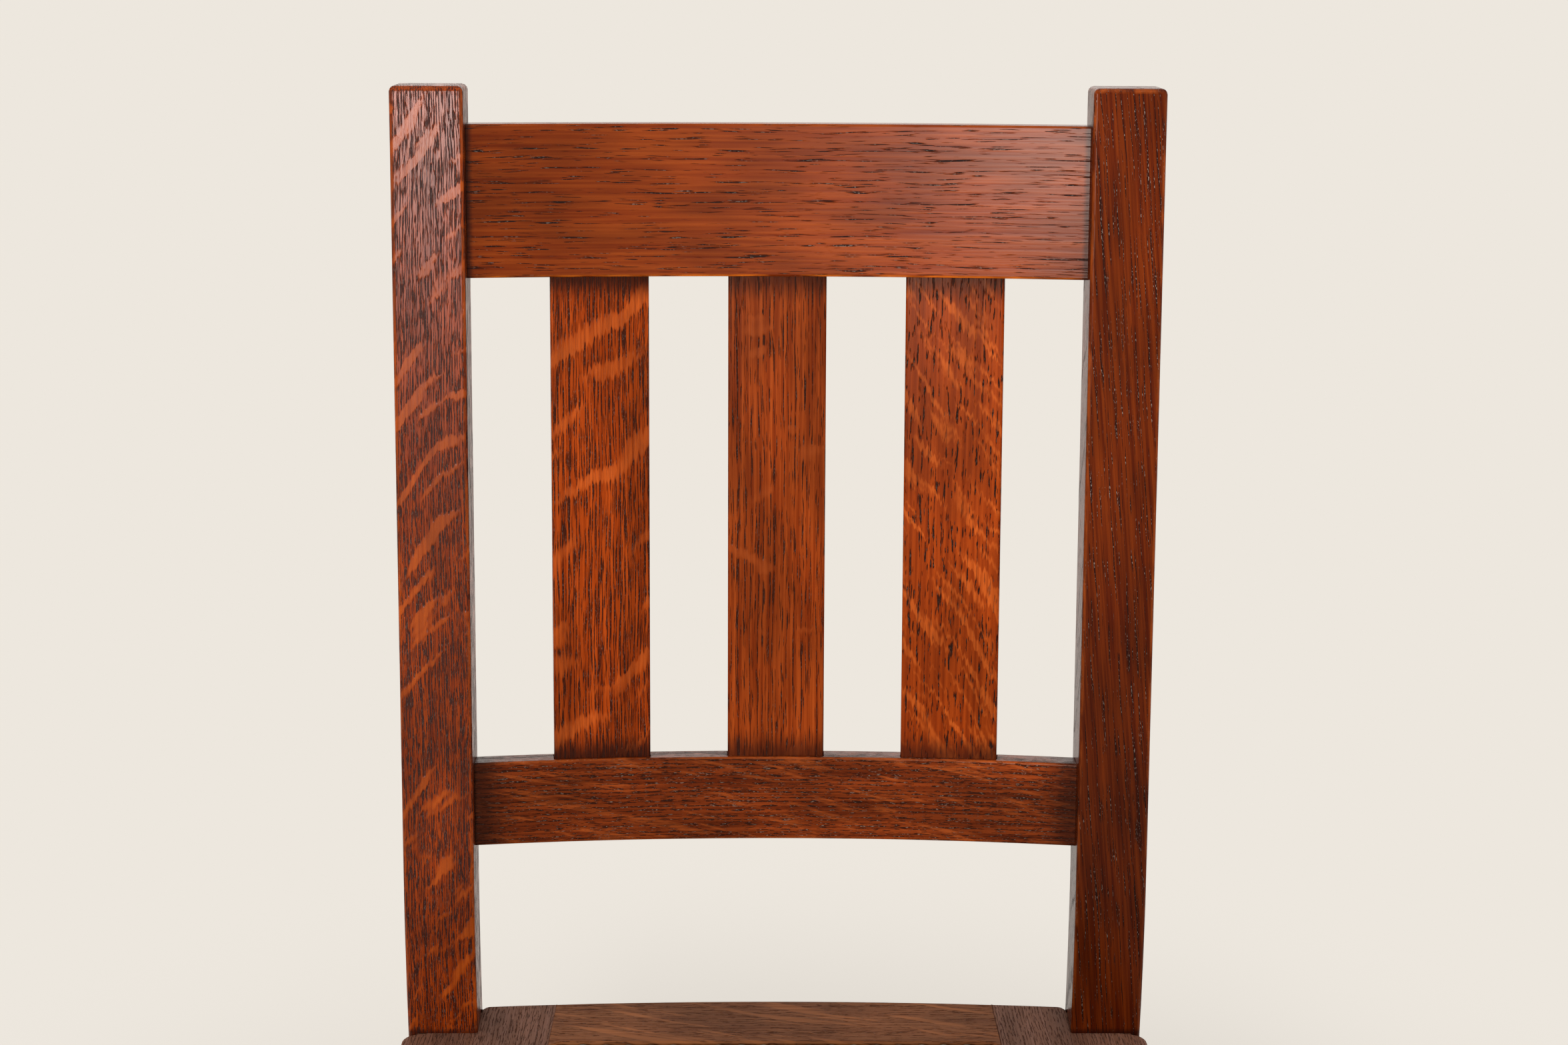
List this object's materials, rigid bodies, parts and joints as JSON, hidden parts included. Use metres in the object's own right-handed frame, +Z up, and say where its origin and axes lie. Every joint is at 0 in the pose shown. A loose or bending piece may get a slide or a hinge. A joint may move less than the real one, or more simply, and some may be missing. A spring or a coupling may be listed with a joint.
{
  "type": "rocking chair",
  "caption": "Armless sewing rocker in dark quarter-sawn oak, with bowed back rails and flat slats, a boarded seat with a nailed tapestry pad let into it, and curved runners.",
  "frame": {"origin": "on the floor under the chair, midway between the front and rear ends of the runners", "axes": "+Z up, +Y towards the back of the chair, +X to the right of someone who looks at the chair from its front"},
  "size_m": [0.4448, 0.7054, 0.8597],
  "materials": {
    "oak_crest": "satin",
    "oak_lower_rail": "satin",
    "oak_slats": "satin",
    "oak_posts": "satin",
    "oak_seat": "satin",
    "oak_base": "satin",
    "oak_runners": "satin",
    "bare_oak": "matte",
    "panel_board": "matte",
    "hidden_dowels": "matte",
    "tapestry": "matte",
    "gimp": "matte",
    "aged_nails": "satin",
    "screw_steel": "satin"
  },
  "bodies": {
    "root": {"rear_post_left": "oak_posts", "rear_post_right": "oak_posts", "crest_rail": "oak_crest", "lower_back_rail": "oak_lower_rail", "back_slat_left": "oak_slats", "back_slat_centre": "oak_slats", "back_slat_right": "oak_slats", "seat_board_left": "oak_seat", "seat_board_right": "oak_seat", "seat_board_front": "oak_seat", "seat_board_rear": "oak_seat", "seat_frame_dowels": "hidden_dowels", "seat_cleat_left": "bare_oak", "seat_cleat_right": "bare_oak", "seat_cleat_front": "bare_oak", "seat_cleat_rear": "bare_oak", "seat_panel": "panel_board", "seat_pad": "tapestry", "seat_gimp": "gimp", "seat_nails": "aged_nails", "front_leg_left": "oak_base", "front_leg_right": "oak_base", "front_apron": "oak_base", "rear_apron": "oak_base", "side_apron_left": "oak_base", "side_apron_right": "oak_base", "corner_block_front_left": "bare_oak", "corner_block_front_right": "bare_oak", "corner_block_rear_left": "bare_oak", "corner_block_rear_right": "bare_oak", "corner_block_screws": "screw_steel", "seat_screws": "screw_steel", "front_stretcher": "oak_base", "rear_stretcher": "oak_base", "side_stretcher_left": "oak_base", "side_stretcher_right": "oak_base", "runner_left": "oak_runners", "runner_right": "oak_runners", "runner_pins": "oak_runners"}
  },
  "joints": []
}
